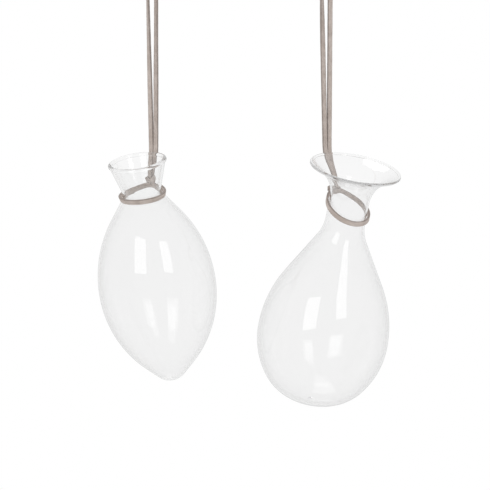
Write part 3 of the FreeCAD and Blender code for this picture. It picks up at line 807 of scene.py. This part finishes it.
def neck_lace(kind):
    """The lace round the neck, drawn up a little where the knot pulls it."""
    s = VASES[kind]
    reach = s["neck_radius"] + LOOP_CLEARANCE + s["loop_slack"] + LACE_THICKNESS / 2
    place = seat(kind)
    slope, roll = (math.tan(math.radians(s[f"loop_{way}"])) for way in ("tilt", "roll"))
    lean = math.tan(math.radians(s["loop_lean"]))
    line = []
    for i in range(LOOP_STEPS):
        turn = 2 * math.pi * i / LOOP_STEPS
        near = abs((turn - math.radians(s["knot_turn"]) + math.pi) % (2 * math.pi) - math.pi)
        pull = s["loop_pull"] * math.exp(-((near / LOOP_PULL_SPREAD) ** 2))
        sway = LOOP_SWAY * math.sin(2 * turn + LOOP_SWAY_START)
        spot = Vector((reach * math.cos(turn), reach * math.sin(turn), 0.0))
        spot.z = s["loop_height"] + slope * spot.x + roll * spot.y + pull + sway
        line.append(place @ (spot * MM))
    centre = place.translation
    up = place.to_3x3() @ Vector((0, 0, 1))
    widths = []
    for i, point in enumerate(line):
        ahead = (line[(i + 1) % LOOP_STEPS] - line[i - 1]).normalized()
        out = point - centre
        out = (out - up * out.dot(up)).normalized()
        widths.append(ahead.cross(out) - out * lean)
    build = lace_mesh(line, widths, closed=True, seed=s["grain_seed"] + LOOP_SEED)
    lace_piece(f"{kind}_lace_round_neck", [build], f"{kind}_sling", f"{kind}_neck_loop")


KNOT_STEPS = 40
KNOT_FULLNESS = 0.8
KNOT_DROP = 2.6
KNOT_INSET = 0.4
# Each turn of the knot: half sizes through and across, tilt, and its place outwards and along
KNOT_TURNS = ((1.5, 2.75, 12, 0.0, 0.0), (1.9, 2.9, -24, 0.25, -0.2))
# The trimmed end: outwards, sideways and along from the knot's middle
KNOT_TAIL = ((1.1, 0.0, 0.3), (1.5, 2.3, 0.1), (1.3, 3.6, -0.1), (0.9, 4.8, -0.5))
TAIL_WAY = (0, 0.12, 1)
TAIL_SEED = 40


def fuller(value):
    """A sine or cosine pushed outwards, so that a band is fuller than an ellipse."""
    return math.copysign(abs(value) ** KNOT_FULLNESS, value)


def band_round(place, centre, deep, wide, tilt):
    """A closed band of lace round the knot: half sizes through and across, turned by tilt."""
    turn_about = Matrix.Rotation(math.radians(tilt), 4, "X")
    line, widths = [], []
    for i in range(KNOT_STEPS):
        turn = 2 * math.pi * i / KNOT_STEPS
        spot = Vector((deep * fuller(math.cos(turn)), wide * fuller(math.sin(turn)), 0))
        line.append(place @ ((Vector(centre) + turn_about @ spot) * MM))
        widths.append(place.to_3x3() @ (turn_about @ Vector((0, 0, 1))))
    return lace_mesh(line, widths, closed=True, seed=tilt)


def tie_knot(kind):
    """The knot at the back of the neck: two crossing turns of lace and a trimmed end."""
    s = VASES[kind]
    place = knot_place(kind)
    profile = PROFILES[kind]
    out, low = profile.knot_top[0] - KNOT_INSET, s["knot_height"] - KNOT_DROP
    turns = [
        band_round(place, (out + shift, 0.0, low + rise), deep, wide, tilt)
        for deep, wide, tilt, shift, rise in KNOT_TURNS
    ]
    tail = [(out + shift, aside, low + rise) for shift, aside, rise in KNOT_TAIL]
    line = smooth_line([place @ (Vector(point) * MM) for point in tail], TAIL_SPANS)
    ways = [place.to_3x3() @ Vector(TAIL_WAY) for _ in line]
    turns.append(lace_mesh(line, ways, seed=s["grain_seed"] + TAIL_SEED))
    lace_piece(f"{kind}_tied_knot", turns, f"{kind}_sling", f"{kind}_knot")


# Both vases

for kind in VASES:
    hang_lace(kind)
    for side in (1, -1):
        lower_lace(kind, side)
    neck_lace(kind)
    tie_knot(kind)
    blow(kind)


# Background, floor and light

FLOOR_PLACE = (0.053, 0.0, -1.3)
FLOOR_HALF = 2.4
FLOOR_SHADE = 0.9
FLOOR_LIGHT = 0.93
ROOM_LEVEL = 0.8
AIR_LEVEL = 0.86

world = bpy.data.worlds.new("studio")
scene.world = world
world.use_nodes = True
tree = world.node_tree
tree.nodes.clear()
rays = tree.nodes.new("ShaderNodeLightPath")
seen = node_row(tree, "ShaderNodeBackground", Color=grey(1.0), Strength=1.0)
level = tree.nodes.new("ShaderNodeMix")
level.inputs["A"].default_value = AIR_LEVEL
level.inputs["B"].default_value = ROOM_LEVEL
link(tree, rays.outputs["Is Glossy Ray"], level.inputs["Factor"])
room = node_row(
    tree, "ShaderNodeBackground", Color=grey(1.0), Strength=level.outputs["Result"]
)
through = math_node(
    tree, "MAXIMUM", rays.outputs["Is Camera Ray"], rays.outputs["Is Transmission Ray"]
)
pick = tree.nodes.new("ShaderNodeMixShader")
link(tree, through, pick.inputs["Fac"])
link(tree, room.outputs["Background"], pick.inputs[1])
link(tree, seen.outputs["Background"], pick.inputs[2])
world_out = tree.nodes.new("ShaderNodeOutputWorld")
link(tree, pick.outputs["Shader"], world_out.inputs["Surface"])

floor_material, tree, output = new_material("pale_floor")
place = tree.nodes.new("ShaderNodeTexCoord")
grain = node_row(tree, "ShaderNodeTexNoise", Vector=place.outputs["Object"], Scale=6.0)
pale = colour_ramp(tree, grain.outputs["Fac"], grey(FLOOR_SHADE), grey(FLOOR_LIGHT))
surface = node_row(tree, "ShaderNodeBsdfPrincipled", Roughness=0.8)
link(tree, pale, surface.inputs["Base Color"])
floor_rays = tree.nodes.new("ShaderNodeLightPath")
in_glass = math_node(
    tree, "MAXIMUM", floor_rays.outputs["Is Glossy Ray"], floor_rays.outputs["Is Transmission Ray"]
)
gone = tree.nodes.new("ShaderNodeBsdfTransparent")
seen_floor = tree.nodes.new("ShaderNodeMixShader")
link(tree, in_glass, seen_floor.inputs["Fac"])
link(tree, surface.outputs["BSDF"], seen_floor.inputs[1])
link(tree, gone.outputs["BSDF"], seen_floor.inputs[2])
link(tree, seen_floor.outputs["Shader"], output.inputs["Surface"])
build = bmesh.new()
bmesh.ops.create_grid(build, x_segments=4, y_segments=4, size=FLOOR_HALF)
bmesh.ops.translate(build, vec=FLOOR_PLACE, verts=build.verts)
floor_mesh = bpy.data.meshes.new("floor")
build.to_mesh(floor_mesh)
build.free()
floor = bpy.data.objects.new("floor", floor_mesh)
floor_mesh.materials.append(floor_material)
scene.collection.objects.link(floor)

VASE_CENTRE = Vector((0.056, 0.0, -0.19))
LAMP_DISTANCE = 1.5
# Azimuth from the camera's side to the right, elevation, width, height and level of each lamp
LAMPS = {
    "left_window": (-24.5, 12, 0.66, 0.84, 1.4),
    "right_window": (31.5, 15.5, 0.50, 0.76, 1.4),
    "top_panel": (180, 71, 0.56, 0.85, 1.1),
}


def softbox(name, azimuth, elevation, width, height, level):
    """A lamp that faces the vases."""
    data = bpy.data.lights.new(name, "AREA")
    data.shape = "RECTANGLE"
    data.size, data.size_y = width, height
    data.energy = level * width * height * math.pi
    lamp = bpy.data.objects.new(name, data)
    turn, rise = math.radians(azimuth), math.radians(elevation)
    way = Vector(
        (math.sin(turn) * math.cos(rise), -math.cos(turn) * math.cos(rise), math.sin(rise))
    )
    lamp.location = VASE_CENTRE + way * LAMP_DISTANCE
    lamp.rotation_euler = way.to_track_quat("Z", "Y").to_euler()
    lamp.visible_camera = False
    scene.collection.objects.link(lamp)


for name, sizes in LAMPS.items():
    softbox(name, *sizes)

# Light crosses several walls of glass, so it may turn more often than usual
GLASS_BOUNCES = 16
CLEAR_BOUNCES = 24

scene.view_settings.view_transform = "Standard"
scene.cycles.max_bounces = GLASS_BOUNCES
scene.cycles.glossy_bounces = GLASS_BOUNCES
scene.cycles.transmission_bounces = GLASS_BOUNCES
scene.cycles.transparent_max_bounces = CLEAR_BOUNCES
